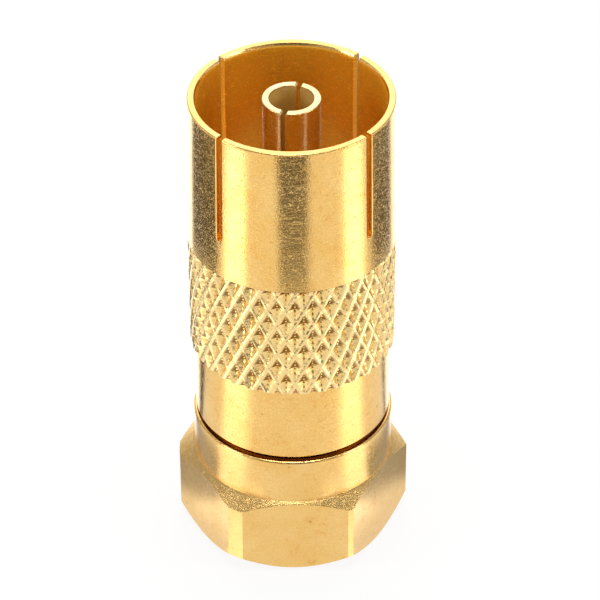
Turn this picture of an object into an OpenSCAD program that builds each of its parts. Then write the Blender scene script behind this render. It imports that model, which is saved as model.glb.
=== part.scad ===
// Aerial socket to F plug adaptor: a turned, gold plated body with a slotted socket at the
// top, a knurled grip, and a free-turning hexagon coupling nut held on its neck by a split ring.
// Millimetres. The origin is the centre of the nut's end face, and +Z points to the socket.

/* [Sleeve] */
// Outside diameter of the socket sleeve at its rim
sleeve_rim_od = 10.5; // [10.3:0.05:11.2]
// Outside diameter of the socket sleeve where it meets the knurl
sleeve_base_od = 10.78; // [10.6:0.02:11.4]
// Bore of the sleeve, which takes the aerial plug's outer ferrule
sleeve_bore = 9.56; // [9.2:0.02:9.8]
// Length of the plain sleeve, from the knurl to the rim
sleeve_len = 8.32; // [7:0.05:12]
// Depth of the socket, from the rim to its floor
cavity_depth = 9.4; // [8:0.1:11]
// Radial width of the turned lead-in at the mouth
lead_w = 0.18; // [0.05:0.01:0.3]
// Depth of the turned lead-in at the mouth
lead_h = 0.27; // [0.1:0.01:0.6]
// Edge break round the outside of the rim
rim_edge = 0.08; // [0.02:0.01:0.2]

/* [Slots] */
// Number of spring fingers that the slots make
slot_count = 4; // [2:1:8]
// Width of each slot
slot_w = 0.32; // [0.2:0.01:0.8]
// Depth of each slot from the rim, to the point of its V
slot_depth = 6.2; // [3:0.1:7.5]
// Angle of the first slot round the axis
slot_angle = 47; // [0:1:90]

/* [Knurl] */
// Number of diamonds round the grip
knurl_count = 36; // [24:1:48]
// Length of the knurled grip
knurl_len = 6.53; // [4:0.05:10]
// Depth of the pits between the knurl ridges
knurl_depth = 0.25; // [0.1:0.01:0.35]
// Angle of the knurl ridges to the axis
knurl_helix = 26.5; // [20:0.5:40]
// How far the knurl ridges stay below the sleeve's base
knurl_edge = 0.02; // [0.01:0.01:0.1]

/* [Barrel and neck] */
// Outside diameter of the plain barrel under the grip
barrel_od = 10.3; // [9.8:0.05:10.6]
// Length of the plain barrel between the grip and the nut
barrel_len = 4.39; // [2:0.02:8]
// Diameter of the neck that the nut turns on
neck_od = 8.3; // [8:0.05:8.6]
// How far the step that keeps the nut off the barrel's shoulder stands in from the barrel
spacer_inset = 0.3; // [0.2:0.05:0.5]
// Length of the neck below the ring groove, down to the ground face
neck_land = 0.5; // [0.3:0.05:1]
// Edge breaks on the barrel and the neck
turned_edge = 0.06; // [0.02:0.01:0.15]

/* [Coupling nut] */
// Size across the nut's flats
nut_flats = 10.9; // [10.8:0.05:12]
// Diameter that the nut's corners are turned down to
nut_corners = 12.26; // [11.8:0.02:12.5]
// Sideways run-out of the hexagon from the turned bore
hex_offset = 0.15; // [0:0.01:0.2]
// Turn of the nut round the axis as it stands
nut_turn = 1.3; // [-30:0.1:30]
// Overall length of the nut with its collar
nut_len = 7.32; // [7:0.02:9]
// Height at which the hexagon meets the collar
hex_len = 4.7; // [4:0.05:5.5]
// Slope of the chamfer over the hexagon, from level
hex_top_slope = 36; // [20:1:45]
// Slope of the chamfer under the hexagon, from level
hex_end_slope = 43; // [20:1:50]
// Outside diameter of the nut's flat end face
nut_end_od = 10.46; // [10.2:0.02:10.7]
// Outside diameter of the nut's thin collar
collar_od = 10.58; // [10.4:0.02:10.7]
// Edge break round the top of the collar
collar_edge = 0.14; // [0.05:0.01:0.25]
// Bore of the threaded length, at the thread's major diameter
thread_d = 9.6; // [9.5:0.02:9.8]
// Length of the threaded bore from the end face
thread_len = 4.6; // [3.5:0.1:5.2]
// Countersink at the mouth of the thread
thread_mouth = 0.14; // [0.05:0.01:0.2]
// Bore of the plain recess that the split ring turns in
recess_d = 9.9; // [9.8:0.02:10]
// Thickness of the nut's inner lip
lip_t = 1.1; // [0.8:0.05:1.4]

/* [Split ring] */
// Thickness of the split retaining ring along the axis
ring_t = 0.55; // [0.4:0.05:0.8]
// Depth of the ring's groove in the neck
groove_depth = 0.4; // [0.3:0.05:0.6]
// Opening of the ring's split
ring_split = 1.6; // [0.8:0.1:3]

/* [Centre contact] */
// Outside diameter of the split contact tube
contact_od = 3; // [2.8:0.05:3.3]
// Bore of the contact tube, which grips the aerial plug's pin
contact_bore = 2.3; // [2.2:0.02:2.5]
// Depth of the contact tube's bore
contact_depth = 8.2; // [7:0.1:9]
// Width of the slit across the contact tube
slit_w = 0.2; // [0.1:0.01:0.4]
// Depth of the slit across the contact tube
slit_depth = 6.4; // [4:0.1:6.8]
// Angle of the slit round the axis
slit_angle = 73.4; // [0:0.1:180]
// How far the contact stays below the rim
contact_below = 0.13; // [0.05:0.01:1]
// Edge breaks at the mouth of the contact tube
contact_edge = 0.1; // [0.04:0.01:0.14]
// Diameter of the contact's stem inside the insulators
stem_d = 1.8; // [1.4:0.1:2.2]
// Diameter of the plug's centre pin
pin_d = 1; // [0.7:0.05:1.1]
// Height of the pin's tip over the nut's end face
pin_tip = 0.4; // [0.2:0.05:2]

/* [Insulators] */
// Diameter of the socket insulator
socket_ins_d = 7.4; // [6.5:0.1:8]
// Height from the socket insulator's foot to the contact's shoulder
contact_seat = 3.8; // [2:0.1:5]
// Diameter of the plug insulator
plug_ins_d = 6; // [5:0.1:6.4]
// Length of the plug insulator
plug_ins_len = 4.3; // [3:0.1:5]
// How far the plug insulator is sunk under the ground face
plug_ins_sink = 0.1; // [0:0.05:0.4]
// Thickness of the web between the two insulators
web_t = 1.2; // [0.8:0.1:2]
// Diameter of the hole through the web
web_hole = 3.4; // [2.6:0.1:4.5]

/* [Clearances] */
// Radial running clearance between the neck and the nut's lip
run_gap = 0.05; // [0.02:0.01:0.08]
// Axial gap between the nut's collar and the barrel's shoulder
nut_gap = 0.24; // [0.1:0.02:0.5]
// Axial gap between the nut's collar and the step under the barrel
spacer_gap = 0.06; // [0.04:0.01:0.08]
// Axial gap on each side of the split ring
ring_play = 0.12; // [0.05:0.01:0.25]
// Gap between the split ring and the floor of its groove
ring_seat = 0.05; // [0.02:0.01:0.1]
// Gap between the split ring and the wall of its recess
ring_clear = 0.35; // [0.2:0.05:0.5]
// Radial gap round a pressed-in piece
press_gap = 0.01; // [0.005:0.005:0.02]

/* [Hidden] */
$fn = 96;
cut = 0.5;                    // how far a cutting tool runs past a face
gold = [0.93, 0.73, 0.40];
pale_gold = [0.88, 0.80, 0.58];
white_plastic = [0.93, 0.93, 0.90];
spring_steel = [0.70, 0.70, 0.72];

// Radii
rim_r = sleeve_rim_od / 2;
base_r = sleeve_base_od / 2;
bore_r = sleeve_bore / 2;
barrel_r = barrel_od / 2;
neck_r = neck_od / 2;
groove_r = neck_r - groove_depth;
knurl_peak_r = base_r - knurl_edge;
knurl_root_r = knurl_peak_r - knurl_depth;
knurl_inner_r = min(barrel_r, knurl_root_r) - 0.2;
contact_r = contact_od / 2;
stem_r = stem_d / 2;
pin_r = pin_d / 2;
lip_r = neck_r + run_gap;
recess_r = recess_d / 2;
collar_r = collar_od / 2;
spacer_r = barrel_r - spacer_inset;
corner_r = nut_corners / 2;
end_r = nut_end_od / 2;

// Heights, from the nut's end face up
lip_z = nut_len - lip_t;
ring_top = lip_z - ring_play;
ring_foot = ring_top - ring_t;
groove_top = ring_top + ring_play / 2;
groove_foot = ring_foot - ring_play / 2;
ground_z = groove_foot - neck_land;
shoulder_z = nut_len + nut_gap;
spacer_foot = nut_len + spacer_gap;
knurl_foot = shoulder_z + barrel_len;
knurl_top = knurl_foot + knurl_len;
rim_z = knurl_top + sleeve_len;
cavity_z = rim_z - cavity_depth;
plug_ins_foot = ground_z + plug_ins_sink;
web_foot = plug_ins_foot + plug_ins_len;
web_top = web_foot + web_t;
contact_foot = web_top + contact_seat;
contact_top = rim_z - contact_below;

// Knurl rows: every row is half a diamond high, and the last one runs in under the sleeve's edge
diamond_w = 2 * PI * knurl_peak_r / knurl_count;
row_h = diamond_w / 2 / tan(knurl_helix);
knurl_rows = floor(knurl_len / row_h) + 1;

// Ridge crossings and pit floors take turns round each row, and swap from row to row
function knurl_r(i, j) = (i + j) % 2 == 0 ? knurl_peak_r : knurl_root_r;
function ring_point(r, i, z) = let (a = 180 * i / knurl_count) [r * cos(a), r * sin(a), z];

module knurl_band() {
    n = 2 * knurl_count;
    last = knurl_rows;
    outer = [for (j = [0:last], i = [0:n - 1]) ring_point(knurl_r(i, j), i, knurl_foot + j * row_h)];
    inner = [for (j = [0, last], i = [0:n - 1]) ring_point(knurl_inner_r, i, knurl_foot + j * row_h)];
    // each cell folds along the ridge that joins its two crossings
    cells = [for (j = [0:last - 1], i = [0:n - 1])
        let (k = (i + 1) % n, a = j * n + i, b = j * n + k, c = a + n, d = b + n)
        each (i + j) % 2 == 0 ? [[a, c, d], [a, d, b]] : [[a, c, b], [b, c, d]]];
    foot = len(outer);
    walls = [for (i = [0:n - 1])
        let (k = (i + 1) % n, top = last * n)
        each [[i, k, foot + k, foot + i],
              [top + k, top + i, foot + n + i, foot + n + k],
              [foot + i, foot + k, foot + n + k, foot + n + i]]];
    polyhedron(points = concat(outer, inner), faces = concat(cells, walls), convexity = 4);
}

// Outside of the turned body, with the neck, the ring groove, the barrel and the sleeve
module body_outside() {
    rotate_extrude()
        polygon([
            [0, ground_z], [neck_r - turned_edge, ground_z], [neck_r, ground_z + turned_edge],
            [neck_r, groove_foot], [groove_r, groove_foot], [groove_r, groove_top], [neck_r, groove_top],
            [neck_r, spacer_foot], [spacer_r, spacer_foot], [spacer_r, shoulder_z],
            [barrel_r - turned_edge, shoulder_z], [barrel_r, shoulder_z + turned_edge],
            [barrel_r, knurl_top], [base_r, knurl_top],
            [rim_r, rim_z - rim_edge], [rim_r - rim_edge, rim_z], [0, rim_z]
        ]);
}

// Bores from both ends, which leave a web between the two insulators
module body_bores() {
    rotate_extrude()
        polygon([
            [0, ground_z - cut], [plug_ins_d / 2, ground_z - cut], [plug_ins_d / 2, web_foot],
            [web_hole / 2, web_foot], [web_hole / 2, web_top],
            [socket_ins_d / 2, web_top], [socket_ins_d / 2, cavity_z],
            [bore_r, cavity_z], [bore_r, rim_z - lead_h], [bore_r + lead_w, rim_z],
            [bore_r + lead_w, rim_z + cut], [0, rim_z + cut]
        ]);
}

// A saw cut down from a rim, seen along the cut: parallel sides, a V at the foot and a flared mouth
module saw_profile(width, depth, flare) {
    polygon([
        [0, -depth], [width / 2, -depth + width / 2], [width / 2, -flare], [width / 2 + flare, cut],
        [-width / 2 - flare, cut], [-width / 2, -flare], [-width / 2, -depth + width / 2]
    ]);
}

module sleeve_slots() {
    for (k = [0:slot_count - 1])
        rotate([0, 0, slot_angle + k * 360 / slot_count])
            translate([base_r + cut, 0, rim_z])
                rotate([90, 0, -90])
                    linear_extrude(height = base_r + cut - contact_r)
                        saw_profile(slot_w, slot_depth, 0);
}

module socket_shell() {
    color(gold)
        difference() {
            union() {
                body_outside();
                knurl_band();
            }
            body_bores();
            sleeve_slots();
        }
}

module centre_contact() {
    color(pale_gold)
        difference() {
            rotate_extrude()
                polygon([
                    [0, pin_tip], [pin_r / 2, pin_tip], [pin_r, pin_tip + pin_r],
                    [pin_r, plug_ins_foot], [stem_r, plug_ins_foot], [stem_r, contact_foot],
                    [contact_r, contact_foot], [contact_r, contact_top - contact_edge],
                    [contact_r - contact_edge, contact_top], [0, contact_top]
                ]);
            rotate_extrude()
                polygon([
                    [0, contact_top - contact_depth - contact_bore / 4],
                    [contact_bore / 2, contact_top - contact_depth],
                    [contact_bore / 2, contact_top - contact_edge],
                    [contact_bore / 2 + contact_edge, contact_top],
                    [contact_bore / 2 + contact_edge, contact_top + cut], [0, contact_top + cut]
                ]);
            rotate([0, 0, slit_angle])
                translate([contact_od, 0, contact_top])
                    rotate([90, 0, -90])
                        linear_extrude(height = 2 * contact_od)
                            saw_profile(slit_w, slit_depth, contact_edge);
        }
}

// A white bush with a stepped hole for the contact
module insulator(d, foot, top, hole_foot, hole_top, step_z) {
    color(white_plastic)
        difference() {
            translate([0, 0, foot])
                cylinder(d = d - 2 * press_gap, h = top - foot);
            translate([0, 0, foot - cut])
                cylinder(d = hole_foot + 2 * press_gap, h = top - foot + 2 * cut);
            translate([0, 0, step_z])
                cylinder(d = hole_top + 2 * press_gap, h = top - step_z + cut);
        }
}

module socket_insulator() {
    insulator(socket_ins_d, web_top, cavity_z, stem_d, contact_od, contact_foot);
}

module plug_insulator() {
    insulator(plug_ins_d, plug_ins_foot, web_foot, stem_d, stem_d, plug_ins_foot);
}

module retaining_ring() {
    outer = recess_r - ring_clear;
    color(spring_steel)
        difference() {
            translate([0, 0, ring_foot])
                cylinder(r = outer, h = ring_t);
            translate([0, 0, ring_foot - cut])
                cylinder(r = groove_r + ring_seat, h = ring_t + 2 * cut);
            translate([0, -ring_split / 2, ring_foot - cut])
                cube([outer + cut, ring_split, ring_t + 2 * cut]);
        }
}

// Turned outside of the nut: the chamfers take the hexagon's corners down at both ends
module nut_blank() {
    top_drop = (corner_r - collar_r) * tan(hex_top_slope);
    end_rise = (corner_r - end_r) * tan(hex_end_slope);
    rotate_extrude()
        polygon([
            [0, 0], [end_r, 0], [corner_r, end_rise], [corner_r, hex_len - top_drop],
            [collar_r, hex_len], [collar_r, nut_len - collar_edge],
            [collar_r - collar_edge, nut_len], [0, nut_len]
        ]);
}

// Hexagonal bar stock, which is left round over the collar
module nut_stock() {
    rotate([0, 0, nut_turn])
        translate([-hex_offset, 0, -cut])
            cylinder(d = nut_flats / cos(30), h = hex_len + cut, $fn = 6);
    translate([0, 0, hex_len])
        cylinder(r = corner_r, h = nut_len - hex_len + cut);
}

// Bore of the nut from the end face up: the thread, the ring's recess and the lip
module nut_bore() {
    rotate_extrude()
        polygon([
            [0, -cut], [thread_d / 2 + thread_mouth, -cut], [thread_d / 2 + thread_mouth, 0],
            [thread_d / 2, thread_mouth], [thread_d / 2, thread_len], [recess_r, thread_len],
            [recess_r, lip_z], [lip_r, lip_z], [lip_r, nut_len + cut], [0, nut_len + cut]
        ]);
}

module coupling_nut() {
    color(gold)
        difference() {
            intersection() {
                nut_blank();
                nut_stock();
            }
            nut_bore();
        }
}

socket_shell();
centre_contact();
socket_insulator();
plug_insulator();
retaining_ring();
coupling_nut();
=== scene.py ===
import bmesh
import bpy
import math
from mathutils import Matrix, Vector


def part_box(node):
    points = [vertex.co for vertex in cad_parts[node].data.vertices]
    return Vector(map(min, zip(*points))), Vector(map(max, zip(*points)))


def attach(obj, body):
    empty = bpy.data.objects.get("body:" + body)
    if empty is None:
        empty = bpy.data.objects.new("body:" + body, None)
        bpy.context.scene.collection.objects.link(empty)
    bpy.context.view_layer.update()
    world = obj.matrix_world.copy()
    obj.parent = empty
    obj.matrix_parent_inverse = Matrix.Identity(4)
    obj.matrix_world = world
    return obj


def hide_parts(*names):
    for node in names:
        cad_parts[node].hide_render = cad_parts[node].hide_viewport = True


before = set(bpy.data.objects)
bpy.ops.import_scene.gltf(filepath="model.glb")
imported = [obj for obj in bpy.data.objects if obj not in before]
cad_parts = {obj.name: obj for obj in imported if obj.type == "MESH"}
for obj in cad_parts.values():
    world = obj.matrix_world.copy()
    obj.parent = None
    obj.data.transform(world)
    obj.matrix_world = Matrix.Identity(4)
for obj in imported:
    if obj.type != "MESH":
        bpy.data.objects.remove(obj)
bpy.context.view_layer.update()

mm = 0.001                     # pieces are worked out in millimetres, then brought to metres
body = "adaptor_body"
nutBody = "nut"


def boxOf(node):
    low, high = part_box(node)
    return [v / mm for v in low], [v / mm for v in high]


def linked(name, data):
    obj = bpy.data.objects.new(name, data)
    bpy.context.scene.collection.objects.link(obj)
    return obj


shellLow, shellHigh = boxOf("socket_shell")
nutHigh = boxOf("coupling_nut")[1]
contactLow, contactHigh = boxOf("centre_contact")
plugBushLow = boxOf("plug_insulator")[0]

cameraSet = {
    "tilt": 37.138,            # degrees down from level
    "distance": 175.34,
    "aim": (0.399, 0.0, 13.99),
    "lens": 201.3222,          # millimetres, on a sensor 36 wide
    "sensor": 36.0,
    "roll": -0.168,
    "clip": (0.01, 10.0),      # metres
}


def addCamera(s):
    tilt, roll = math.radians(s["tilt"]), math.radians(s["roll"])
    back = Vector((0, -math.cos(tilt), math.sin(tilt)))
    right = Vector((1, 0, 0))
    up = right.cross(-back)
    side = right * math.cos(roll) + up * math.sin(roll)
    top = up * math.cos(roll) - right * math.sin(roll)
    data = bpy.data.cameras.new("camera")
    data.sensor_width = s["sensor"]
    data.lens = s["lens"]
    data.clip_start, data.clip_end = s["clip"]
    cam = linked("camera", data)
    place = (Vector(s["aim"]) + back * s["distance"]) * mm
    turn = Matrix((side, top, back)).transposed().to_4x4()
    cam.matrix_world = Matrix.Translation(place) @ turn
    bpy.context.scene.camera = cam


addCamera(cameraSet)
print("camera placed")


# small helpers that set up nodes

def put(tree, value, socket):
    if isinstance(value, bpy.types.NodeSocket):
        tree.links.new(value, socket)
    else:
        socket.default_value = value


def calc(tree, operation, *values, clamp=False):
    node = tree.nodes.new("ShaderNodeMath")
    node.operation = operation
    node.use_clamp = clamp
    for socket, value in zip(node.inputs, values):
        put(tree, value, socket)
    return node.outputs[0]


def total(tree, first, *others):
    for other in others:
        first = calc(tree, "ADD", first, other)
    return first


def product(tree, first, *others):
    for other in others:
        first = calc(tree, "MULTIPLY", first, other)
    return first


def combine(tree, x, y, z):
    node = tree.nodes.new("ShaderNodeCombineXYZ")
    for socket, value in zip(node.inputs, (x, y, z)):
        put(tree, value, socket)
    return node.outputs[0]


def separate(tree, vector):
    node = tree.nodes.new("ShaderNodeSeparateXYZ")
    tree.links.new(vector, node.inputs[0])
    return node.outputs


def noise(tree, vector, scale=1.0, detail=2.0, rough=0.5, distortion=0.0):
    node = tree.nodes.new("ShaderNodeTexNoise")
    tree.links.new(vector, node.inputs["Vector"])
    node.inputs["Scale"].default_value = scale
    node.inputs["Detail"].default_value = detail
    node.inputs["Roughness"].default_value = rough
    node.inputs["Distortion"].default_value = distortion
    return node.outputs[0]


def spread(tree, value, low, high, newLow=0.0, newHigh=1.0, smooth=False):
    node = tree.nodes.new("ShaderNodeMapRange")
    node.clamp = True
    if smooth:
        node.interpolation_type = "SMOOTHSTEP"
    for socket, v in zip(node.inputs, (value, low, high, newLow, newHigh)):
        put(tree, v, socket)
    return node.outputs[0]


def mixColour(tree, share, first, second, blend="MIX"):
    node = tree.nodes.new("ShaderNodeMix")
    node.data_type = "RGBA"
    node.blend_type = blend
    put(tree, share, node.inputs[0])
    put(tree, first, node.inputs[6])
    put(tree, second, node.inputs[7])
    return node.outputs[2]


def greyColour(tree, value):
    node = tree.nodes.new("ShaderNodeCombineColor")
    for socket in node.inputs:
        tree.links.new(value, socket)
    return node.outputs[0]


# object coordinates in millimetres, turned about the axis if asked
def objectPlace(tree, turn=0.0):
    coords = tree.nodes.new("ShaderNodeTexCoord")
    scaled = tree.nodes.new("ShaderNodeMapping")
    scaled.inputs["Scale"].default_value = (1 / mm, 1 / mm, 1 / mm)
    scaled.inputs["Rotation"].default_value = (0, 0, math.radians(turn))
    tree.links.new(coords.outputs["Object"], scaled.inputs["Vector"])
    return scaled.outputs[0]


def axisDistance(tree, x, y):
    return calc(tree, "SQRT", total(tree, product(tree, x, x), product(tree, y, y)))


def newMaterial(name):
    material = bpy.data.materials.new(name)
    material.use_nodes = True
    return material, material.node_tree, material.node_tree.nodes["Principled BSDF"]


def addBump(tree, shader, height, strength, depth):
    bump = tree.nodes.new("ShaderNodeBump")
    bump.inputs["Strength"].default_value = strength
    bump.inputs["Distance"].default_value = depth * mm
    tree.links.new(height, bump.inputs["Height"])
    tree.links.new(bump.outputs[0], shader.inputs["Normal"])


# small helpers that build meshes

def facesOut(mesh):
    work = bmesh.new()
    work.from_mesh(mesh)
    bmesh.ops.recalc_face_normals(work, faces=work.faces)
    for face in work.faces:
        face.material_index = 0
    work.to_mesh(mesh)
    work.free()


def meshObject(name, verts, faces):
    mesh = bpy.data.meshes.new(name)
    mesh.from_pydata([tuple(v) for v in verts], [], [tuple(f) for f in faces])
    facesOut(mesh)
    return linked(name, mesh)


def applied(obj):
    graph = bpy.context.evaluated_depsgraph_get()
    graph.update()
    mesh = bpy.data.meshes.new_from_object(obj.evaluated_get(graph))
    mesh.name = obj.name
    old = obj.data
    obj.modifiers.clear()
    obj.data = mesh
    bpy.data.meshes.remove(old)
    return obj


def toMetres(obj):
    obj.data.transform(Matrix.Scale(mm, 4))
    obj.data.update()
    return obj


def roundedEdges(obj, width, angle, steps=2):
    bevel = obj.modifiers.new("edges", "BEVEL")
    bevel.width = width
    bevel.segments = steps
    bevel.limit_method = "ANGLE"
    bevel.angle_limit = math.radians(angle)
    bevel.miter_outer = "MITER_ARC"
    weighted = obj.modifiers.new("normals", "WEIGHTED_NORMAL")
    weighted.keep_sharp = True
    for face in obj.data.polygons:
        face.use_smooth = True
    return applied(obj)


def paint(obj, material):
    obj.data.materials.clear()
    obj.data.materials.append(material)


def finish(obj, material, ridesOn, slot, *nodes):
    paint(obj, material)
    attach(obj, ridesOn)
    if nodes:
        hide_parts(*nodes)
    print(obj.name, "made,", len(obj.data.polygons), "faces")


def arc(centreR, centreZ, radius, start, end, steps):
    turn = [math.radians(start + (end - start) * k / steps) for k in range(steps + 1)]
    return [(centreR + radius * math.cos(a), centreZ + radius * math.sin(a)) for a in turn]


axisRadius = 1e-6              # a point of a profile nearer than this lies on the axis
widestSine = 0.9               # close to the axis a cut takes up no more of the circle than this


# a turned skin with saw cuts through one run of its rows
def turned(name, profile, slots, halfWidth, cutRows, levels, fingerSteps, slotSteps, closed):
    first, last = cutRows
    count = len(slots)
    columns = []
    for k in range(count):
        columns += [(k, None, -1 + 2 * s / slotSteps) for s in range(1, slotSteps)]
        columns += [(k, t / fingerSteps, None) for t in range(fingerSteps + 1)]
    around = len(columns)

    def angleOf(column, radius, z):
        k, along, across = column
        half = math.asin(min(halfWidth(z) / radius, widestSine))
        if along is None:
            return slots[k] + half * across
        start = slots[k] + half
        end = slots[(k + 1) % count] + (2 * math.pi if k + 1 == count else 0) - half
        return start + (end - start) * along

    verts, index = [], []
    for j, (radius, z) in enumerate(profile):
        if radius < axisRadius:
            index.append([len(verts)] * around)
            verts.append((0, 0, z))
            continue
        row = []
        for column in columns:
            drop = 0.0
            if column[1] is None:
                if first < j < last:
                    row.append(None)
                    continue
                if j in (first, last):
                    drop = halfWidth(z) * (1 - abs(column[2]))
            a = angleOf(column, radius, z)
            row.append(len(verts))
            verts.append((radius * math.cos(a), radius * math.sin(a), z - drop))
        index.append(row)

    faces = []
    rows = len(profile)
    for j in range(rows if closed else rows - 1):
        low, high = index[j], index[(j + 1) % rows]
        for i in range(around):
            k = (i + 1) % around
            inSlot = columns[i][1] is None or columns[k][1] is None
            if inSlot and first <= j < last:
                continue
            face = [low[i], low[k], high[k], high[i]]
            face = [v for n, v in enumerate(face) if v not in face[:n]]
            if len(face) > 2:
                faces.append(face)
    perSlot = slotSteps + fingerSteps
    for k in range(count):
        rightEdge = k * perSlot + slotSteps - 1
        leftEdge = (k * perSlot - 1) % around
        for edge in (rightEdge, leftEdge):
            for m in range(levels - 1):
                faces.append([index[first + m][edge], index[first + m + 1][edge],
                              index[last - m - 1][edge], index[last - m][edge]])
            faces.append([index[j][edge] for j in range(first + levels - 1, last - levels + 2)])
        across = [leftEdge] + [k * perSlot + s for s in range(slotSteps - 1)] + [rightEdge]
        for a, b in zip(across, across[1:]):
            faces.append([index[first][a], index[first][b], index[last][b], index[last][a]])
    return meshObject(name, verts, faces)


# gold plating: a bored zone is the rougher inside of a bore, where the body and the contact get a deep
# orange, partly matt colour as painted reflection of the light that bounces between the gold walls,
# with pale specks as painted glints; a zone in a gap or under another part is darkened as painted
# shade; a coarse band is the torn top of a chamfer between two heights; and the pits get painted shade
# on their down-facing upper walls and a painted highlight on their crests
goldSet = {
    "bodyGold": {
        "tint": (0.94, 0.60, 0.205), "deep": (0.91, 0.54, 0.15), "rough": 0.09,
        "rings": 0.12, "streaks": 0.06, "grain": 0.9, "specks": 0.8, "scratches": 1.0, "scuffs": 0.8,
        # in the body's bore the deep orange, half matt colour is painted reflection of the light
        # bounced between the gold walls
        "bored": {"foot": 10.0, "top": 26.64, "radius": 5.1},
        "boreTintAndPaintedBounce": (1.0, 0.52, 0.03), "boredRough": 0.24, "boredMetal": 0.5,
        # below the barrel's shoulder, in the gap and inside the nut, the colour is darkened as painted
        # shade
        "paintedShade": {"foot": -1.0, "top": 7.54, "radius": 9.0},
        "coarse": None, "pits": None,
    },
    "knurlGold": {
        "tint": (0.96, 0.68, 0.27), "deep": (0.95, 0.63, 0.22), "rough": 0.16,
        "rings": 0.0, "streaks": 0.1, "grain": 1.3, "specks": 0.3, "scratches": 0.0, "scuffs": 0.5,
        "bored": None, "paintedShade": None, "coarse": None,
        # the down-facing upper walls of the pits get a dark painted shade
        "pits": {"wallFacing": (-0.08, -0.2), "wallRadius": (5.35, 5.29), "wallShadeShare": 0.85,
                 # the outermost crests of the knurl get a pale painted highlight
                 "wallShadeTint": (0.17, 0.075, 0.014), "crestRadius": (5.25, 5.36), "crestHighlightShare": 0.4,
                 "crestHighlightTint": (1.0, 0.79, 0.40)},
    },
    "nutGold": {
        "tint": (0.92, 0.60, 0.22), "deep": (0.87, 0.53, 0.16), "rough": 0.11,
        "rings": 0.25, "streaks": 0.1, "grain": 0.7, "specks": 0.7, "scratches": 1.0, "scuffs": 0.5,
        # in the nut's bore the tint stays near the plain gold, only rougher
        "bored": {"foot": -1.0, "top": 4.61, "radius": 4.88},
        "boreTintAndPaintedBounce": (0.9, 0.6, 0.2), "boredRough": 0.3, "boredMetal": 1.0,
        # on the nut's top inside the collar, in the gap under the barrel, the colour is darkened as
        # painted shade
        "paintedShade": {"foot": 7.2, "top": 9.0, "radius": 5.13},
        "coarse": (3.75, 4.62), "pits": None,
    },
    "contactGold": {
        "tint": (0.90, 0.70, 0.36), "deep": (0.80, 0.58, 0.26), "rough": 0.20,
        "rings": 0.2, "streaks": 0.5, "grain": 1.2, "specks": 0.5, "scratches": 1.0, "scuffs": 1.0,
        # in the contact's bore the more orange, partly matt colour is painted reflection of the light
        # bounced down the tube
        "bored": {"foot": 10.0, "top": 26.56, "radius": 1.18},
        "boreTintAndPaintedBounce": (0.86, 0.60, 0.18), "boredRough": 0.5, "boredMetal": 0.4,
        # the contact's lower part, down in the plug's bush and bore, is darkened as painted shade
        "paintedShade": {"foot": 0.0, "top": 9.0, "radius": 9.0},
        "coarse": None, "pits": None,
    },
}

# what the gold finishes share: a noise is its scale per millimetre, detail, roughness and distortion,
# and edges are the two values between which a mark fades in
markSet = {
    "ringDrift": 0.12, "ringPitch": 16.0, "ringNoise": (1.0, 3.0, 0.6),
    "streakAcross": 9.0, "streakAlong": 0.5, "streakNoise": (1.0, 3.0, 0.6),
    "blotchNoise": (0.55, 4.0, 0.6, 0.4), "blotchEdges": (0.35, 0.7),
    "stainNoise": (1.7, 4.0, 0.65, 0.8), "stainEdges": (0.58, 0.70), "stainShare": 0.5,
    "stainTint": (0.78, 0.34, 0.07),
    "grainNoise": (11.0, 2.0, 0.7), "grainEdges": (0.3, 0.75), "grainShade": (0.84, 1.05),
    "grainRough": 0.14,
    "hairTurn": (0.5, 0.4, 0.9), "hairStretch": (0.5, 1.6, 3.2), "hairNoise": (1.3, 2.0, 0.5, 0.6),
    "hairWidth": 0.006, "hairDepth": 0.3, "hairRough": 0.12,
    "speckScale": 0.9, "speckEdges": (0.09, 0.03), "speckChosen": (0.55, 0.6), "speckShare": 0.75,
    # the dark specks are pits in the plating; inside a bore the specks are pale instead, as painted
    # glints
    "speckTint": (0.30, 0.12, 0.03), "boreGlintTint": (1.0, 0.85, 0.45),
    "scuffNoise": (12.0, 3.0, 0.8, 0.3), "scuffEdges": (0.60, 0.70), "scuffDepth": 1.2,
    "scuffRough": 0.10,
    # the dark brown tint of a zone in a gap or under another part, and how strongly it is laid on,
    # paint shade there
    "boredFade": 0.04, "paintedShadeFade": 0.02, "paintedShadeShare": 0.85, "paintedShadeTint": (0.28, 0.13, 0.035),
    "tornNoise": (5.5, 5.0, 0.8), "tornFades": (0.1, 0.08), "tornFacing": (0.5, 0.7),
    "tornDepth": 1.6, "tornShare": 0.2, "tornTint": (0.62, 0.42, 0.17),
    "bumpStrength": 0.5, "bumpDepth": 0.014,
}


# 1 between two heights and within a radius, fading to 0 just past them
def zoneShare(tree, out, z, zone, fade):
    foot, top, radius = zone["foot"], zone["top"], zone["radius"]
    return product(tree, spread(tree, z, foot, foot + fade), spread(tree, z, top, top + fade, 1.0, 0.0),
                   spread(tree, out, radius, radius + fade, 1.0, 0.0))


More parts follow.
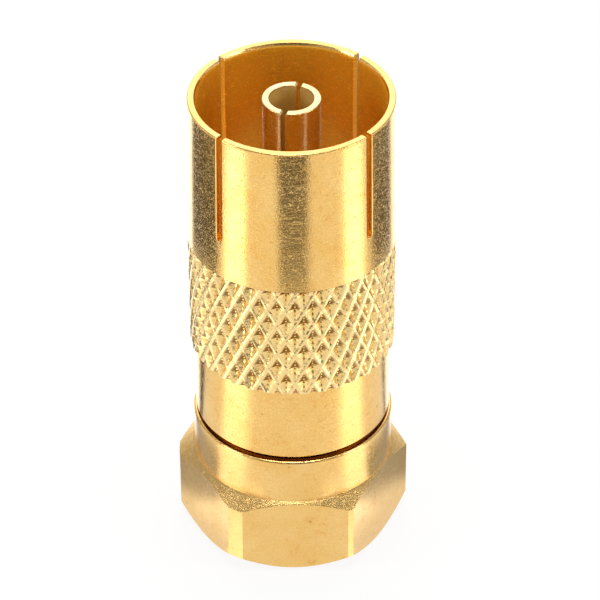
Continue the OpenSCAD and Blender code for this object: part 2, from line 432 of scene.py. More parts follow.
def goldMaterial(name, s, m):
    material, tree, shader = newMaterial(name)
    place = objectPlace(tree)
    x, y, z = separate(tree, place)
    out = axisDistance(tree, x, y)
    geometry = tree.nodes.new("ShaderNodeNewGeometry")
    facing = separate(tree, geometry.outputs["True Normal"])[2]

    drift = [product(tree, side, m["ringDrift"]) for side in (x, y)]
    along = product(tree, total(tree, z, out), m["ringPitch"])
    rings = noise(tree, combine(tree, *drift, along), *m["ringNoise"])
    across = [product(tree, side, m["streakAcross"]) for side in (x, y)]
    along = product(tree, z, m["streakAlong"])
    streaks = noise(tree, combine(tree, *across, along), *m["streakNoise"])
    blotches = noise(tree, place, *m["blotchNoise"])
    stains = noise(tree, place, *m["stainNoise"])
    grain = noise(tree, place, *m["grainNoise"])
    scuffs = spread(tree, noise(tree, place, *m["scuffNoise"]), *m["scuffEdges"])
    scuffs = product(tree, scuffs, s["scuffs"])

    tilted = tree.nodes.new("ShaderNodeMapping")
    tilted.inputs["Rotation"].default_value = m["hairTurn"]
    tilted.inputs["Scale"].default_value = m["hairStretch"]
    tree.links.new(place, tilted.inputs["Vector"])
    hair = calc(tree, "SUBTRACT", noise(tree, tilted.outputs[0], *m["hairNoise"]), 0.5)
    hair = spread(tree, calc(tree, "ABSOLUTE", hair), 0.0, m["hairWidth"], 1.0, 0.0)
    hair = product(tree, hair, s["scratches"])

    cells = tree.nodes.new("ShaderNodeTexVoronoi")
    cells.inputs["Scale"].default_value = m["speckScale"]
    tree.links.new(place, cells.inputs["Vector"])
    spot = spread(tree, cells.outputs["Distance"], *m["speckEdges"])
    chosen = spread(tree, separate(tree, cells.outputs["Color"])[0], *m["speckChosen"])
    specks = product(tree, spot, chosen, s["specks"])

    # colour
    blotched = spread(tree, blotches, *m["blotchEdges"])
    colour = mixColour(tree, blotched, (*s["tint"], 1), (*s["deep"], 1))
    speckColour = (*m["speckTint"], 1)
    roughBase = s["rough"]
    shader.inputs["Metallic"].default_value = 1.0
    # in a bore the colour becomes painted reflection: deep orange and partly matt, standing for light
    # bounced between the walls
    if s["bored"]:
        inside = zoneShare(tree, out, z, s["bored"], m["boredFade"])
        colour = mixColour(tree, inside, colour, (*s["boreTintAndPaintedBounce"], 1))
        # inside a bore the specks take a pale colour as painted glints
        speckColour = mixColour(tree, inside, speckColour, (*m["boreGlintTint"], 1))
        roughBase = spread(tree, inside, 0.0, 1.0, s["rough"], s["boredRough"])
        if s["boredMetal"] < 1.0:
            metal = spread(tree, inside, 0.0, 1.0, 1.0, s["boredMetal"])
            tree.links.new(metal, shader.inputs["Metallic"])
    stained = product(tree, spread(tree, stains, *m["stainEdges"]), m["stainShare"])
    colour = mixColour(tree, stained, colour, (*m["stainTint"], 1))
    shade = greyColour(tree, spread(tree, grain, *m["grainEdges"], *m["grainShade"]))
    colour = mixColour(tree, min(s["grain"], 1.0), colour, shade, "MULTIPLY")
    colour = mixColour(tree, product(tree, specks, m["speckShare"]), colour, speckColour)
    # darken a zone in a gap or under another part as painted shade
    if s["paintedShade"]:
        paintedShade = product(tree, zoneShare(tree, out, z, s["paintedShade"], m["paintedShadeFade"]), m["paintedShadeShare"])
        colour = mixColour(tree, paintedShade, colour, (*m["paintedShadeTint"], 1))
    if s["pits"]:
        pits = s["pits"]
        # the down-facing upper walls of the pits are darkened as painted shade
        wall = product(tree, spread(tree, facing, *pits["wallFacing"]),
                       spread(tree, out, *pits["wallRadius"]), pits["wallShadeShare"])
        colour = mixColour(tree, wall, colour, (*pits["wallShadeTint"], 1))
        # the crests are paled towards cream as a painted highlight
        crest = spread(tree, out, *pits["crestRadius"], 0.0, pits["crestHighlightShare"])
        colour = mixColour(tree, crest, colour, (*pits["crestHighlightTint"], 1))

    # relief and gloss
    height = product(tree, rings, s["rings"])
    height = total(tree, height, product(tree, streaks, s["streaks"]), product(tree, grain, s["grain"]))
    sunk = total(tree, product(tree, hair, m["hairDepth"]), product(tree, scuffs, m["scuffDepth"]))
    height = calc(tree, "SUBTRACT", height, sunk)
    if s["coarse"]:
        (foot, top), (footFade, topFade) = s["coarse"], m["tornFades"]
        band = product(tree, spread(tree, z, foot, foot + footFade),
                       spread(tree, z, top, top + topFade, 1.0, 0.0),
                       spread(tree, facing, *m["tornFacing"]))
        torn = product(tree, noise(tree, place, *m["tornNoise"]), band, m["tornDepth"])
        height = total(tree, height, torn)
        colour = mixColour(tree, product(tree, band, m["tornShare"]), colour, (*m["tornTint"], 1))
    roughness = product(tree, calc(tree, "SUBTRACT", grain, 0.5), m["grainRough"] * s["grain"])
    roughness = total(tree, roughness, roughBase)
    marks = total(tree, product(tree, hair, m["hairRough"]), product(tree, scuffs, m["scuffRough"]))
    roughness = calc(tree, "ADD", roughness, marks, clamp=True)
    addBump(tree, shader, height, m["bumpStrength"], m["bumpDepth"])
    tree.links.new(roughness, shader.inputs["Roughness"])
    tree.links.new(colour, shader.inputs["Base Color"])
    return material


# the white bushes: faintly cloudy, with fine turning marks
plasticSet = {
    "colour": (0.88, 0.88, 0.85), "shade": 0.93, "rough": 0.42,
    "cloudNoise": (1.2, 3.0), "cloudEdges": (0.35, 0.7),
    "turningPitch": 14.0, "turningNoise": (1.0, 2.0), "bumpStrength": 0.4, "bumpDepth": 0.01,
}


def plasticMaterial(name, s):
    material, tree, shader = newMaterial(name)
    place = objectPlace(tree)
    cloud = spread(tree, noise(tree, place, *s["cloudNoise"]), *s["cloudEdges"])
    shaded = [c * s["shade"] for c in s["colour"]]
    tree.links.new(mixColour(tree, cloud, (*s["colour"], 1), (*shaded, 1)), shader.inputs["Base Color"])
    x, y, z = separate(tree, place)
    turning = [product(tree, side, s["turningPitch"]) for side in (axisDistance(tree, x, y), z)]
    turning = noise(tree, combine(tree, *turning, 0.0), *s["turningNoise"])
    addBump(tree, shader, turning, s["bumpStrength"], s["bumpDepth"])
    shader.inputs["Roughness"].default_value = s["rough"]
    return material


gold = {name: goldMaterial(name, s, markSet) for name, s in goldSet.items()}
whitePlastic = plasticMaterial("whitePlastic", plasticSet)
print("finishes made")


# the turned body with its slotted sleeve
shellSet = {
    "rimR": 5.25, "boreR": 4.78, "barrelR": 5.15, "coreR": 4.92, "spacerR": 4.85, "neckR": 4.15,
    "grooveR": 3.75, "plugBoreR": 3.0, "webR": 1.7, "socketBoreR": 3.7,
    "knurlFoot": 11.95, "knurlLength": 6.53, "cavityDepth": 9.4,
    "webFoot": 9.39, "webTop": 10.59, "shoulder": 7.56, "spacerFoot": 7.38,
    "grooveTop": 6.16, "grooveFoot": 5.49,
    "leadWide": 0.12, "leadDeep": 0.27, "lipWide": 0.02, "lipDeep": 0.012,
    "rimRound": 0.09, "rimSteps": 5, "baseWide": 0.03, "baseDeep": 0.05,
    "edge": 0.06, "burr": 0.065, "sharpAngle": 35,
    "slots": 4, "slotWidth": 0.32, "slotDepth": 6.2, "slotAngle": 47.0,
    "fingerSteps": 90, "slotSteps": 6, "wallRows": 16, "plainRow": 0.5,
}


def buildShell(s):
    groundZ, rimZ, baseR = shellLow[2], shellHigh[2], shellHigh[0]
    boreR, barrelR, neckR = s["boreR"], s["barrelR"], s["neckR"]
    knurlTop = s["knurlFoot"] + s["knurlLength"]
    cavityZ = rimZ - s["cavityDepth"]
    half = s["slotWidth"] / 2
    slotFoot = rimZ - s["slotDepth"] + half
    plainZ = slotFoot - s["plainRow"]
    leadR, leadFoot = boreR + s["leadWide"], rimZ - s["leadDeep"]
    rim, edge = s["rimRound"], s["edge"]
    walls = [slotFoot + (leadFoot - slotFoot) * k / (s["wallRows"] - 1) for k in range(s["wallRows"])]

    def outside(z):
        share = (z - knurlTop) / (rimZ - rim - knurlTop)
        return baseR + (s["rimR"] - baseR) * share

    # up the bore, over the rim and down the outside
    profile = [(boreR, cavityZ), (boreR, cavityZ + s["plainRow"]), (boreR, plainZ)]
    first = len(profile)
    profile += [(boreR, z) for z in walls]
    profile += [(boreR + s["leadWide"] / 2, leadFoot + s["leadDeep"] / 2)]
    profile += [(leadR, rimZ - s["lipDeep"]), (leadR + s["lipWide"], rimZ)]
    profile += arc(s["rimR"] - rim, rimZ - rim, rim, 90, 0, s["rimSteps"])
    profile += [(outside(z), z) for z in reversed(walls)]
    last = len(profile) - 1
    profile += [(outside(plainZ), plainZ)]
    # the sleeve's base, the core under the knurl, the barrel and the spacer
    profile += [(baseR, knurlTop + s["baseDeep"]), (baseR - s["baseWide"], knurlTop)]
    profile += [(s["coreR"], knurlTop), (s["coreR"], s["knurlFoot"]), (barrelR, s["knurlFoot"])]
    profile += [(barrelR, s["shoulder"] + edge), (barrelR - edge, s["shoulder"])]
    profile += [(s["spacerR"], s["shoulder"]), (s["spacerR"], s["spacerFoot"])]
    # the neck with its groove, and back up the plug's bore through the web
    profile += [(neckR, s["spacerFoot"]), (neckR, s["grooveTop"]), (s["grooveR"], s["grooveTop"])]
    profile += [(s["grooveR"], s["grooveFoot"]), (neckR, s["grooveFoot"]), (neckR, groundZ + edge)]
    profile += [(neckR - edge, groundZ), (s["plugBoreR"], groundZ), (s["plugBoreR"], s["webFoot"])]
    profile += [(s["webR"], s["webFoot"]), (s["webR"], s["webTop"])]
    profile += [(s["socketBoreR"], s["webTop"]), (s["socketBoreR"], cavityZ)]
    slots = [math.radians(s["slotAngle"] + 360 * k / s["slots"]) for k in range(s["slots"])]
    shell = turned("socket_body", profile, slots, lambda z: half, (first, last), s["wallRows"],
                   s["fingerSteps"], s["slotSteps"], True)
    return toMetres(roundedEdges(shell, s["burr"], s["sharpAngle"]))


finish(buildShell(shellSet), gold["bodyGold"], body, "body_plating", "socket_shell")


# the split contact tube with its stem and pin
contactSet = {
    "tubeR": 1.5, "boreR": 1.13, "boreDepth": 8.2, "stemR": 0.9, "shoulder": 14.39,
    "pinR": 0.5, "tipShare": 0.8, "tipSteps": 6,
    "slitWidth": 0.2, "slitDepth": 6.4, "slitAngle": 73.4, "flare": 0.1, "flareSlope": 0.8,
    "rimRound": 0.06, "rimSteps": 3, "mouthWide": 0.03, "mouthStep": 0.01,
    "fingerSteps": 60, "slitSteps": 4, "wallRows": 12, "plainRow": 0.5,
    "edge": 0.02, "sharpAngle": 35,
}


def buildContact(s):
    topZ, tipZ = contactHigh[2], contactLow[2]
    faceZ = plugBushLow[2]
    tubeR, boreR, stemR, pinR = s["tubeR"], s["boreR"], s["stemR"], s["pinR"]
    tip, rim = pinR * s["tipShare"], s["rimRound"]
    half = s["slitWidth"] / 2
    slitFoot = topZ - s["slitDepth"] + half
    plainZ = slitFoot - s["plainRow"]
    wallTop = topZ - s["flare"]
    boreFoot = topZ - s["boreDepth"]
    walls = [slitFoot + (wallTop - slitFoot) * k / (s["wallRows"] - 1) for k in range(s["wallRows"])]

    def slitHalf(z):
        return half + max(0.0, z - wallTop) * s["flareSlope"]

    # up the outside from the pin's tip, over the rim and down the bore
    profile = [(0, tipZ), (pinR - tip, tipZ)]
    profile += arc(pinR - tip, tipZ + tip, tip, -90, 0, s["tipSteps"])[1:]
    profile += [(pinR, faceZ), (stemR, faceZ), (stemR, s["shoulder"])]
    profile += [(tubeR, s["shoulder"]), (tubeR, plainZ)]
    first = len(profile)
    profile += [(tubeR, z) for z in walls]
    profile += arc(tubeR - rim, topZ - rim, rim, 0, 90, s["rimSteps"])
    profile += [(boreR + s["mouthWide"], topZ), (boreR + s["mouthStep"], topZ - s["mouthWide"])]
    profile += [(boreR, z) for z in reversed(walls)]
    last = len(profile) - 1
    profile += [(boreR, plainZ), (boreR, boreFoot), (0, boreFoot - boreR / 2)]
    slits = [math.radians(s["slitAngle"]), math.radians(s["slitAngle"] + 180)]
    contact = turned("contact_tube", profile, slits, slitHalf, (first, last), s["wallRows"],
                     s["fingerSteps"], s["slitSteps"], False)
    return toMetres(roundedEdges(contact, s["edge"], s["sharpAngle"]))


finish(buildContact(contactSet), gold["contactGold"], body, "contact_plating", "centre_contact")


# the hexagon coupling nut: chamfered at both ends, with a turned collar over its corners
nutSet = {
    "sides": 6, "flats": 10.9, "cornerR": 6.13, "offset": 0.15, "turn": 1.3, "hexLength": 4.7,
    "topSlope": 36.0, "endSlope": 43.0, "endR": 5.23,
    "collarR": 5.29, "collarRound": 0.14, "collarRow": 0.4, "collarBand": 0.3, "collarSteps": 5,
    "threadR": 4.8, "threadLength": 4.6, "mouth": 0.14, "recessR": 5.05, "lip": 1.1, "lipR": 4.2,
    "flatSteps": 40, "cornerSteps": 8, "wallSteps": 6, "edge": 0.1, "edgeSteps": 3, "sharpAngle": 14,
}


# angle and hexagon radius of each column of the nut, flat by flat with a turned corner after each
def nutColumns(s):
    turn, cornerR, sides = math.radians(s["turn"]), s["cornerR"], s["sides"]
    shift = (-s["offset"] * math.cos(turn), -s["offset"] * math.sin(turn))
    flats = []
    for k in range(sides):
        a = math.radians(-90 + 360 / sides * k) + turn
        flats.append((a, s["flats"] / 2 + shift[0] * math.cos(a) + shift[1] * math.sin(a)))
    columns = []
    for k, (a, d) in enumerate(flats):
        half = math.acos(d / cornerR)
        nextA, nextD = flats[(k + 1) % sides]
        nextStart = (nextA + (2 * math.pi if k == sides - 1 else 0)) - math.acos(nextD / cornerR)
        for i in range(s["flatSteps"] + 1):
            t = a - half + 2 * half * i / s["flatSteps"]
            columns.append((t, d / math.cos(t - a)))
        end = a + half
        for i in range(1, s["cornerSteps"]):
            columns.append((end + (nextStart - end) * i / s["cornerSteps"], cornerR))
    return columns


def buildNut(s):
    topZ = nutHigh[2]
    hexTop, collarR, rim = s["hexLength"], s["collarR"], s["collarRound"]
    lipFoot, threadR = topZ - s["lip"], s["threadR"]
    topTan, endTan = math.tan(math.radians(s["topSlope"])), math.tan(math.radians(s["endSlope"]))
    rows = []
    for t, hexR in nutColumns(s):
        footZ = (hexR - s["endR"]) * endTan
        headZ = hexTop - (hexR - collarR) * topTan
        wall = [footZ + (headZ - footZ) * k / s["wallSteps"] for k in range(s["wallSteps"] + 1)]
        column = [(threadR + s["mouth"], 0), (s["endR"], 0), ((s["endR"] + hexR) / 2, footZ / 2)]
        column += [(hexR, z) for z in wall]
        column += [((collarR + hexR) / 2, (headZ + hexTop) / 2), (collarR, hexTop)]
        column += [(collarR, hexTop + s["collarRow"]), (collarR, topZ - rim - s["collarBand"])]
        column += arc(collarR - rim, topZ - rim, rim, 0, 90, s["collarSteps"])
        column += [(s["lipR"], topZ), (s["lipR"], lipFoot)]
        column += [(s["recessR"], lipFoot), (s["recessR"], s["threadLength"])]
        column += [(threadR, s["threadLength"]), (threadR, s["mouth"])]
        rows.append([(r * math.cos(t), r * math.sin(t), z) for r, z in column])
    deep = len(rows[0])
    verts = [p for column in rows for p in column]
    faces = []
    for i in range(len(rows)):
        k = (i + 1) % len(rows)
        for j in range(deep):
            n = (j + 1) % deep
            faces.append([i * deep + j, k * deep + j, k * deep + n, i * deep + n])
    nut = meshObject("hexagon_nut", verts, faces)
    return toMetres(roundedEdges(nut, s["edge"], s["sharpAngle"], s["edgeSteps"]))


finish(buildNut(nutSet), gold["nutGold"], nutBody, "nut_plating", "coupling_nut")


# what repeats is made by geometry nodes: the diamond knurl and the thread
def newGeometry(name, sizes):
    tree = bpy.data.node_groups.new(name, "GeometryNodeTree")
    tree.interface.new_socket("Geometry", in_out="INPUT", socket_type="NodeSocketGeometry")
    kinds = {int: "NodeSocketInt", float: "NodeSocketFloat"}
    for label, value in sizes.items():
        kind = kinds.get(type(value), "NodeSocketMaterial")
        tree.interface.new_socket(label, in_out="INPUT", socket_type=kind)
    tree.interface.new_socket("Geometry", in_out="OUTPUT", socket_type="NodeSocketGeometry")
    return tree, tree.nodes.new("NodeGroupInput").outputs, tree.nodes.new("NodeGroupOutput").inputs


def runGeometry(name, tree, sizes):
    obj = linked(name, bpy.data.meshes.new(name))
    modifier = obj.modifiers.new("shape", "NODES")
    modifier.node_group = tree
    for item in tree.interface.items_tree:
        if item.in_out == "INPUT" and item.name in sizes:
            modifier[item.identifier] = sizes[item.name]
    applied(obj)
    facesOut(obj.data)
    return toMetres(obj)


def geometryNode(tree, kind, **inputs):
    node = tree.nodes.new(kind)
    for label, value in inputs.items():
        put(tree, value, node.inputs[label.replace("_", " ")])
    return node


# an open tube of radius 1 and depth 1, with its own x, y and z
def openTube(tree, columns, rows):
    tube = geometryNode(tree, "GeometryNodeMeshCylinder", Vertices=columns, Side_Segments=rows,
                        Radius=1.0, Depth=1.0)
    tube.fill_type = "NONE"
    return tube.outputs["Mesh"], separate(tree, tree.nodes.new("GeometryNodeInputPosition").outputs[0])


def leaning(tree, given, start, height, lean):
    return total(tree, start, product(tree, height, lean), calc(tree, "RADIANS", given["Turn"]))


def movedTo(tree, given, tube, radius, angle, height):
    goal = combine(tree, product(tree, radius, calc(tree, "COSINE", angle)),
                   product(tree, radius, calc(tree, "SINE", angle)), total(tree, height, given["Foot"]))
    return geometryNode(tree, "GeometryNodeSetPosition", Geometry=tube, Position=goal).outputs[0]


endLevel = 0.4999              # the two end rings of a tube lie farther than this from its middle
weldDistance = 0.0005


# a tube moved to the radius that a function gives, with both ends turned in to another radius
def tubeSkin(tree, given, columns, radiusOf, lean):
    rows = given["Rows"]
    allRows = total(tree, rows, 2)
    tube, (x, y, z) = openTube(tree, columns, allRows)
    level = product(tree, total(tree, z, 0.5), allRows)
    share = calc(tree, "DIVIDE", calc(tree, "SUBTRACT", level, 1.0), rows, clamp=True)
    height = product(tree, share, given["Length"])
    start = calc(tree, "ARCTAN2", y, x)
    angle = leaning(tree, given, start, height, lean)
    radius = radiusOf(start, angle, height, share)
    atEnd = calc(tree, "GREATER_THAN", calc(tree, "ABSOLUTE", z), endLevel)
    inwards = product(tree, atEnd, calc(tree, "SUBTRACT", radius, given["Back Radius"]))
    return movedTo(tree, given, tube, calc(tree, "SUBTRACT", radius, inwards), angle, height)


# the plain tube that closes a skin from behind, from end to end
def tubeBack(tree, given, columns, lean):
    tube, (x, y, z) = openTube(tree, columns, 1)
    height = product(tree, total(tree, z, 0.5), given["Length"])
    angle = leaning(tree, given, calc(tree, "ARCTAN2", y, x), height, lean)
    return movedTo(tree, given, tube, given["Back Radius"], angle, height)


def closedTube(tree, given, outputs, columns, radiusOf, lean):
    join = tree.nodes.new("GeometryNodeJoinGeometry")
    tree.links.new(tubeSkin(tree, given, columns, radiusOf, lean), join.inputs[0])
    tree.links.new(tubeBack(tree, given, columns, lean), join.inputs[0])
    welded = geometryNode(tree, "GeometryNodeMergeByDistance", Geometry=join.outputs[0],
                          Distance=weldDistance)
    facets = geometryNode(tree, "GeometryNodeTriangulate", Mesh=welded.outputs[0])
    facets.quad_method = "SHORTEST_DIAGONAL"
    real = geometryNode(tree, "GeometryNodeRealizeInstances", Geometry=facets.outputs[0])
    painted = geometryNode(tree, "GeometryNodeSetMaterial", Geometry=real.outputs[0],
                           Material=given["Finish"])
    tree.links.new(painted.outputs[0], outputs[0])


# crossing ridges with a four-sided pit in each diamond between them
knurlSet = {
    "Diamonds": 36, "Steps": 8, "Rows": 56, "First Crossing": 0.25,
    "Ridge Radius": 5.375, "Pit Depth": 0.27, "Upper Share": 0.5,
    "Foot": 11.95, "Length": 6.53, "Turn": 7.75, "Back Radius": 4.87,
    "Rising Crest": 0.10, "Falling Crest": 0.04, "Unevenness": 0.16, "Burr": 0.022, "Seed": 3,
    "Finish": gold["knurlGold"],
}
burrSet = {"noise": (4.0, 2.0), "edges": (0.3, 0.7)}
lineSlack = 0.001              # keeps a point on a ridge line on one side of it
cellSlack = 0.01               # and in the same diamond as the points above it


def knurlTree(sizes):
    tree, given, outputs = newGeometry("diamondKnurl", sizes)
    columns = product(tree, given["Diamonds"], given["Steps"])
    rowPitch = calc(tree, "DIVIDE", product(tree, given["Length"], given["Steps"]), given["Rows"])
    lean = calc(tree, "DIVIDE", calc(tree, "DIVIDE", math.pi, given["Diamonds"]), rowPitch)
    perTurn = calc(tree, "DIVIDE", given["Diamonds"], 2 * math.pi)

    # the upper and the lower walls of a pit meet at its lowest point
    def pitCut(fromUpper, crest):
        upper = spread(tree, fromUpper, crest, given["Upper Share"])
        lowerCrest = calc(tree, "SUBTRACT", 1.0, crest)
        lower = spread(tree, fromUpper, given["Upper Share"], lowerCrest, 1.0, 0.0)
        return calc(tree, "MINIMUM", upper, lower)

    def pitRadius(start, angle, height, share):
        rising = product(tree, perTurn, start)
        falling = total(tree, rising, calc(tree, "DIVIDE", height, rowPitch), given["First Crossing"])
        risingShare = calc(tree, "FRACT", total(tree, rising, lineSlack))
        fallingShare = calc(tree, "SUBTRACT", 1.0, calc(tree, "FRACT", total(tree, falling, lineSlack)))
        cut = calc(tree, "MINIMUM", pitCut(risingShare, given["Rising Crest"]),
                   pitCut(fallingShare, given["Falling Crest"]))
        corner = [calc(tree, "FLOOR", total(tree, line, cellSlack)) for line in (rising, falling)]
        chance = tree.nodes.new("ShaderNodeTexWhiteNoise")
        tree.links.new(combine(tree, *corner, given["Seed"]), chance.inputs["Vector"])
        sway = product(tree, calc(tree, "SUBTRACT", chance.outputs["Value"], 0.5), given["Unevenness"])
        depth = product(tree, cut, total(tree, sway, 1.0), given["Pit Depth"])
        place = combine(tree, product(tree, angle, given["Ridge Radius"]), height, given["Seed"])
        burr = spread(tree, noise(tree, place, *burrSet["noise"]), *burrSet["edges"])
        worn = total(tree, depth, product(tree, burr, given["Burr"]))
        return calc(tree, "SUBTRACT", given["Ridge Radius"], worn)

    closedTube(tree, given, outputs, columns, pitRadius, lean)
    return tree


knurl = runGeometry("knurled_grip", knurlTree(knurlSet), knurlSet)
finish(knurl, gold["knurlGold"], body, "body_plating")


# the nut's thread: one ridge that winds up the bore and runs out at both ends
threadSet = {
    "Columns": 180, "Rows": 66, "Major Radius": 4.83, "Thread Depth": 0.43, "Pitch": 25.4 / 32,
    "Crest Half": 0.07, "Ridge Half": 0.44, "Run Out": 0.08,
    "Foot": 0.16, "Length": 4.4, "Turn": 0.0, "Back Radius": 4.9, "Finish": gold["nutGold"],
}


def threadTree(sizes):
    tree, given, outputs = newGeometry("insideThread", sizes)

    def threadRadius(start, angle, height, share):
        turns = calc(tree, "SUBTRACT", calc(tree, "DIVIDE", height, given["Pitch"]),
                     calc(tree, "DIVIDE", start, 2 * math.pi))
        away = calc(tree, "ABSOLUTE", calc(tree, "SUBTRACT", calc(tree, "FRACT", turns), 0.5))
        ridge = spread(tree, away, given["Crest Half"], given["Ridge Half"], 1.0, 0.0)
        fromEnd = calc(tree, "MINIMUM", share, calc(tree, "SUBTRACT", 1.0, share))
        fade = spread(tree, fromEnd, 0.0, given["Run Out"])
        raised = product(tree, ridge, fade, given["Thread Depth"])
        return calc(tree, "SUBTRACT", given["Major Radius"], raised)

    closedTube(tree, given, outputs, given["Columns"], threadRadius, 0.0)
    return tree


thread = runGeometry("nut_thread", threadTree(threadSet), threadSet)
for face in thread.data.polygons:
    face.use_smooth = True
finish(thread, gold["nutGold"], nutBody, "nut_plating")


# the turned pieces that keep their own shape get their finish
carriedOver = {
    "socket_insulator": whitePlastic,
    "plug_insulator": whitePlastic,
    "retaining_ring": gold["nutGold"],
}
for node, material in carriedOver.items():
    paint(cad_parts[node], material)
print("bushes and ring finished")


# the stage: a white floor, soft cards beside the part that only its gloss sees, lamps and a soft sky
def stageMaterial(name):
    material = newMaterial(name)[0]
    tree = material.node_tree
    tree.nodes.clear()
    return material, tree, tree.nodes.new("ShaderNodeOutputMaterial").inputs[0]


def glowMix(tree, share, other, strength, surface):
    glow = tree.nodes.new("ShaderNodeEmission")
    put(tree, strength, glow.inputs["Strength"])
    mix = tree.nodes.new("ShaderNodeMixShader")
    put(tree, share, mix.inputs[0])
    tree.links.new(other.outputs[0], mix.inputs[1])
    tree.links.new(glow.outputs[0], mix.inputs[2])
    tree.links.new(mix.outputs[0], surface)


def stageSheet(name, verts, faces, material):
    mesh = bpy.data.meshes.new(name)
    mesh.from_pydata([Vector(v) * mm for v in verts], [], faces)
    mesh.materials.append(material)
    obj = linked(name, mesh)
    return obj


floorSet = {"half": 400, "height": -0.02, "white": 0.86, "shine": 0.9}


def addFloor(s):
    material, tree, surface = stageMaterial("floorWhite")
    paper = tree.nodes.new("ShaderNodeBsdfDiffuse")
    paper.inputs["Color"].default_value = (s["white"], s["white"], s["white"], 1)
    path = tree.nodes.new("ShaderNodeLightPath")
    seen = calc(tree, "MAXIMUM", path.outputs["Is Camera Ray"], path.outputs["Is Glossy Ray"])
    seen = calc(tree, "MAXIMUM", seen, path.outputs["Is Transmission Ray"])
    glowMix(tree, product(tree, seen, s["shine"]), paper, 1.0, surface)
    h, z = s["half"], s["height"]
    stageSheet("floor", [(-h, -h, z), (h, -h, z), (h, h, z), (-h, h, z)], [(0, 1, 2, 3)], material)


addFloor(floorSet)

# each card is a sector of a ring round the part, from the first radius of its reach to the last. A side
# is its angle from +X at the near radius, its angle from a far radius on, that far radius, and its
# softness at the near and at the far one. The glow changes from the first radius to the middle one.
cardSteps = 24
cardHeight = 0.05              # of the lowest card over the foot of the part, and the gap between two
cardGap = 0.02
cardSet = {
    "card_dark_right": {
        "low": (1, 0, 30, 14, 16), "high": (39, 41, 34, 4, 6),
        "reach": (29, 34, 56), "fade": (1.5, 12), "glow": (0.15, 0.15),
    },
    "card_dark_left": {
        "low": (140, 137, 36, 4, 4), "high": (187, 189, 30, 7, 7),
        "reach": (29, 34, 56), "fade": (1.5, 12), "glow": (0.12, 0.12),
    },
    "card_notch_right": {
        "low": (27.5, 24, 20, 3, 4), "high": (32, 34, 20, 3, 3),
        "reach": (11.5, 14, 20), "fade": (1.5, 3), "glow": (0.06, 0.1),
    },
    "card_notch_left": {
        "low": (146.5, 144, 20, 3, 3), "high": (155, 160, 20, 3, 4),
        "reach": (11.5, 14, 22), "fade": (1.0, 3), "glow": (0.0, 0.06),
    },
    "card_back_right": {
        "low": (37, 43, 40, 3, 3), "high": (88, 88, 40, 10, 10),
        "reach": (11, 42, 90), "fade": (2, 20), "glow": (1.6, 1.6),
    },
    "card_back_left": {
        "low": (92, 92, 40, 10, 10), "high": (143, 135, 40, 3, 3),
        "reach": (11, 42, 90), "fade": (2, 20), "glow": (1.6, 2.1),
    },
    "card_bright_right": {
        "low": (-44, -34, 30, 16, 9), "high": (-14, -12, 30, 12, 8),
        "reach": (7.5, 32, 60), "fade": (1.5, 20), "glow": (1.6, 2.9),
    },
    "card_bright_left": {
        "low": (190, 198, 30, 12, 7), "high": (226, 221, 30, 16, 9),
        "reach": (7.5, 32, 60), "fade": (1.5, 20), "glow": (1.4, 2.9),
    },
    "card_front": {
        "low": (258, 252, 70, 2, 3), "high": (286, 288, 70, 8, 8),
        "reach": (30, 46, 82), "fade": (1.5, 12), "glow": (0.38, 0.15),
    },
    "card_corner_left": {
        "low": (226, 226, 12, 6, 6), "high": (243, 243, 12, 4, 4),
        "reach": (6.4, 8, 12), "fade": (0.3, 2.5), "glow": (1.7, 1.6),
    },
    "card_corner_right": {
        "low": (297, 297, 12, 4, 4), "high": (313, 313, 12, 6, 6),
        "reach": (6.4, 8, 12), "fade": (0.3, 2.5), "glow": (1.7, 1.6),
    },
    "card_shade_right": {
        "low": (-16, -16, 12, 12, 12), "high": (30, 30, 12, 12, 12),
        "reach": (8.4, 10, 12.6), "fade": (1.6, 1.6), "glow": (0.45, 0.4),
    },
    "card_shade_left": {
        "low": (150, 150, 12, 12, 12), "high": (196, 196, 12, 12, 12),
        "reach": (8.4, 10, 12.6), "fade": (1.6, 1.6), "glow": (0.5, 0.45),
    },
}


def addCard(name, s, height):
    near, middle, far = s["reach"]
    bearing = (s["low"][0] + s["high"][0]) / 2
    material, tree, surface = stageMaterial(name)
    x, y, z = separate(tree, objectPlace(tree, -bearing))
    out = axisDistance(tree, x, y)
    angle = calc(tree, "DEGREES", calc(tree, "ARCTAN2", y, x))

    def past(side, sign):                  # 0 outside a side of the card, 1 within it
        nearAngle, farAngle, farRadius, nearSoft, farSoft = side
        edge = spread(tree, out, near, farRadius, nearAngle - bearing, farAngle - bearing)
        soft = spread(tree, out, near, farRadius, nearSoft, farSoft)
        beyond = product(tree, calc(tree, "SUBTRACT", angle, edge), sign)
        return spread(tree, calc(tree, "DIVIDE", beyond, soft), -0.5, 0.5, smooth=True)

    nearFade, farFade = s["fade"]
    ends = product(tree, spread(tree, out, near - nearFade, near, smooth=True),
                   spread(tree, out, far - farFade, far, 1.0, 0.0, smooth=True))
    share = product(tree, past(s["low"], 1.0), past(s["high"], -1.0), ends)
    nearGlow, middleGlow = s["glow"]
    glow = nearGlow if nearGlow == middleGlow else spread(tree, out, near, middle, nearGlow, middleGlow)
    glowMix(tree, share, tree.nodes.new("ShaderNodeBsdfTransparent"), glow, surface)
    start = min(s["low"][:2]) - max(s["low"][3:])
    end = max(s["high"][:2]) + max(s["high"][3:])
    verts = []
    for k in range(cardSteps + 1):
        a = math.radians(start + (end - start) * k / cardSteps)
        verts += [(r * math.cos(a), r * math.sin(a), height) for r in (near - nearFade, far)]
    faces = [(2 * k, 2 * k + 1, 2 * k + 3, 2 * k + 2) for k in range(cardSteps)]
    card = stageSheet(name, verts, faces, material)
    card.visible_camera = False
    card.visible_shadow = False
    card.visible_diffuse = False


for cardIndex, (cardName, cardSizes) in enumerate(cardSet.items()):
    addCard(cardName, cardSizes, cardHeight + cardGap * cardIndex)


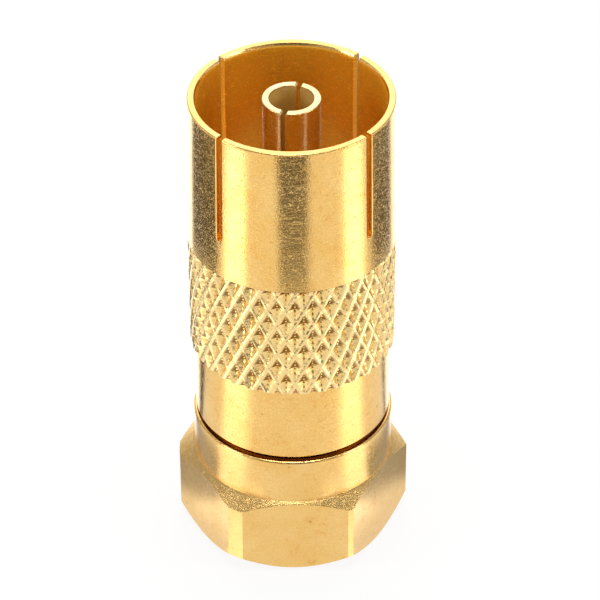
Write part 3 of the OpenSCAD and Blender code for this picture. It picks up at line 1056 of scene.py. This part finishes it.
# a bearing is degrees round from the front towards +X, a rise is degrees above level
def towards(bearing, rise):
    b, r = math.radians(bearing), math.radians(rise)
    return Vector((math.cos(r) * math.sin(b), -math.cos(r) * math.cos(b), math.sin(r)))


lampAim = Vector((0, 0, 14))
lampSet = {
    "lamp_left": {"bearing": -70, "rise": 28, "away": 150, "wide": 54, "level": 6.0},
    "lamp_right": {"bearing": 70, "rise": 28, "away": 150, "wide": 54, "level": 6.0},
}


def addLamp(name, s):
    data = bpy.data.lights.new(name, "AREA")
    data.shape = "DISK"
    data.size = s["wide"] * mm
    data.energy = s["level"] * math.pi * math.pi * (data.size / 2) ** 2
    obj = linked(name, data)
    away = towards(s["bearing"], s["rise"])
    obj.location = (lampAim + away * s["away"]) * mm
    obj.rotation_euler = (-away).to_track_quat("-Z", "Y").to_euler()
    obj.visible_camera = False


for lampName, lampSizes in lampSet.items():
    addLamp(lampName, lampSizes)


# the sky is pale at the horizon and soft in between, with wide soft patches laid over it
skySet = {
    "horizon": 0.95, "fadeFrom": 0.02, "fadeTo": 0.22, "middle": 0.5,
    "patches": [
        {"bearing": 0, "rise": 46, "inner": 24, "outer": 38, "level": 0.15},
        {"bearing": 180, "rise": 36, "inner": 20, "outer": 36, "level": 2.2},
        {"bearing": 0, "rise": 90, "inner": 20, "outer": 28, "level": 0.95},
        {"bearing": 0, "rise": 90, "inner": 10, "outer": 16, "level": 7.8},
    ],
}


def addSky(s):
    world = bpy.data.worlds.new("studio")
    bpy.context.scene.world = world
    world.use_nodes = True
    tree = world.node_tree
    ray = tree.nodes.new("ShaderNodeTexCoord").outputs["Generated"]
    value = spread(tree, separate(tree, ray)[2], s["fadeFrom"], s["fadeTo"], s["horizon"], s["middle"],
                   smooth=True)
    for patch in s["patches"]:
        near = tree.nodes.new("ShaderNodeVectorMath")
        near.operation = "DOT_PRODUCT"
        tree.links.new(ray, near.inputs[0])
        near.inputs[1].default_value = towards(patch["bearing"], patch["rise"])
        share = spread(tree, near.outputs["Value"], math.cos(math.radians(patch["outer"])),
                       math.cos(math.radians(patch["inner"])), smooth=True)
        value = total(tree, value, product(tree, share, calc(tree, "SUBTRACT", patch["level"], value)))
    tree.links.new(value, tree.nodes["Background"].inputs["Strength"])
    tree.nodes["Background"].inputs["Color"].default_value = (1, 1, 1, 1)


addSky(skySet)
bpy.context.scene.view_settings.view_transform = "Standard"
print("stage set")
